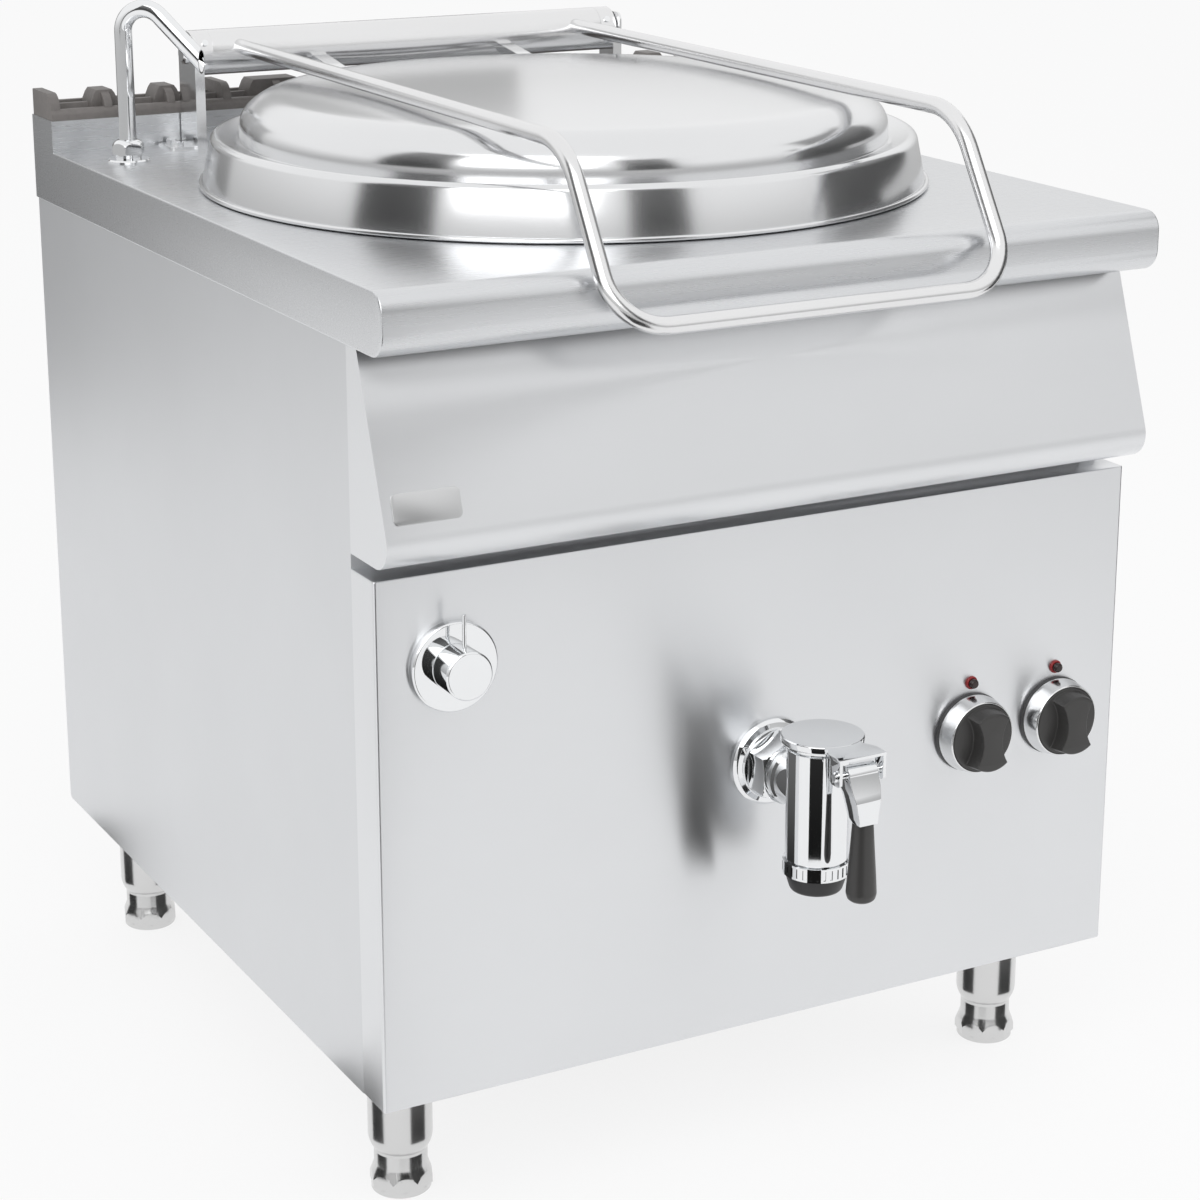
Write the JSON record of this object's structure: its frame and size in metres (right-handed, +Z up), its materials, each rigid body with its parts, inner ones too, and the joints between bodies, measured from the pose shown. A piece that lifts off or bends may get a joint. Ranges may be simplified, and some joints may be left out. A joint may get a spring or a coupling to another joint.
{
  "type": "steam jacketed kettle",
  "caption": "Free-standing steam jacketed kettle in a stainless cabinet, with a hinged domed lid, swivel spout, front drain tap and rotary controls.",
  "frame": {"origin": "on the floor under the middle of the whole outline", "axes": "+Z up, front panel, tap and handle face -Y, +X to the user's right"},
  "size_m": [0.8, 1.0399, 1.053],
  "materials": {
    "satin_steel": "satin brushed stainless steel",
    "polished_steel": "polished stainless steel",
    "frame_steel": "plain stainless steel",
    "chrome": "bright chrome plating",
    "cast_grey": "grey-brown enamelled casting",
    "black_plastic": "black moulded plastic",
    "dark_plastic": "dark grey moulded plastic",
    "lens": "dark red lens",
    "grey_plastic": "grey moulded plastic",
    "mineral_wool": "mineral wool blanket",
    "silicone": "grey silicone",
    "copper_tube": "copper tube"
  },
  "bodies": {
    "root": {"frame": "frame_steel", "side_panel_left": "satin_steel", "side_panel_right": "satin_steel", "rear_panel": "satin_steel", "bottom_panel": "frame_steel", "front_panel": "satin_steel", "control_fascia": "satin_steel", "badge_plate": "satin_steel", "worktop": "satin_steel", "flue_grille": "cast_grey", "leg_sleeves": "satin_steel", "vessel": "polished_steel", "steam_jacket": "frame_steel", "insulation": "mineral_wool", "jacket_fittings": "chrome", "heater_unit": "frame_steel", "drain_pipe": "frame_steel", "hinge_brackets": "polished_steel", "hinge_bracket_bolts": "chrome", "hinge_axles": "chrome", "tap_flange": "chrome", "tap_nut": "chrome", "tap_body": "chrome", "tap_ring": "chrome", "tap_nozzle": "black_plastic", "tap_cap": "chrome", "lever_pin": "chrome", "spout_base": "chrome", "water_escutcheon": "chrome", "water_valve": "chrome", "water_pipes": "copper_tube", "inlet_fittings": "chrome", "cable_gland": "dark_plastic", "knob_rings": "dark_plastic", "knob_bezels": "polished_steel", "pilot_lamps": "lens", "power_switch": "grey_plastic", "thermostat": "grey_plastic", "control_bracket": "frame_steel", "contactors": "grey_plastic", "terminal_block": "grey_plastic", "safety_thermostat": "grey_plastic"},
    "lid": {"lid_shell": "polished_steel", "lid_gasket": "silicone", "lid_lugs": "polished_steel", "hinge_tube": "polished_steel", "hinge_sleeves": "polished_steel", "hinge_screws": "chrome", "handle": "polished_steel"},
    "spout": {"spout": "chrome"},
    "water_knob": {"water_knob": "chrome"},
    "tap_lever": {"tap_lever": "chrome", "lever_grip": "black_plastic"},
    "tap_piston": {"tap_piston": "chrome"},
    "knob_power": {"knob_power": "black_plastic"},
    "knob_thermostat": {"knob_thermostat": "black_plastic"},
    "foot_front_left": {"foot_front_left": "satin_steel"},
    "foot_front_right": {"foot_front_right": "satin_steel"},
    "foot_rear_left": {"foot_rear_left": "satin_steel"},
    "foot_rear_right": {"foot_rear_right": "satin_steel"}
  },
  "joints": [
    {"name": "lid_hinge", "type": "hinge", "parent": "root", "child": "lid", "pos_m": [0, 0.434, 0.9854], "axis": [-1, 0, 0], "range_deg": [0, 80]},
    {"name": "spout_swivel", "type": "hinge", "parent": "root", "child": "spout", "pos_m": [-0.348, 0.366, 0.887], "axis": [0, 0, 1], "range_deg": [-60, 40]},
    {"name": "water_knob_turn", "type": "hinge", "parent": "root", "child": "water_knob", "pos_m": [-0.325, -0.349, 0.548], "axis": [0, 1, 0], "range_deg": [-90, 90]},
    {"name": "tap_lever_lift", "type": "hinge", "parent": "root", "child": "tap_lever", "pos_m": [0, -0.4965, 0.439], "axis": [-1, 0, 0], "range_deg": [0, 90]},
    {"name": "tap_piston_slide", "type": "slide", "parent": "root", "child": "tap_piston", "axis": [0, 0, 1], "range_m": [0, 0.012]},
    {"name": "knob_power_turn", "type": "hinge", "parent": "root", "child": "knob_power", "pos_m": [0.226, -0.349, 0.39], "axis": [0, 1, 0], "range_deg": [0, 270]},
    {"name": "knob_thermostat_turn", "type": "hinge", "parent": "root", "child": "knob_thermostat", "pos_m": [0.326, -0.349, 0.39], "axis": [0, 1, 0], "range_deg": [0, 300]},
    {"name": "foot_front_left_adjust", "type": "slide", "parent": "root", "child": "foot_front_left", "axis": [0, 0, -1], "range_m": [0, 0.04]},
    {"name": "foot_front_right_adjust", "type": "slide", "parent": "root", "child": "foot_front_right", "axis": [0, 0, -1], "range_m": [0, 0.04]},
    {"name": "foot_rear_left_adjust", "type": "slide", "parent": "root", "child": "foot_rear_left", "axis": [0, 0, -1], "range_m": [0, 0.04]},
    {"name": "foot_rear_right_adjust", "type": "slide", "parent": "root", "child": "foot_rear_right", "axis": [0, 0, -1], "range_m": [0, 0.04]}
  ],
  "couplings": [
    {"joint": "tap_piston_slide", "follows": "tap_lever_lift", "m_per_rad": 0.007639}
  ]
}
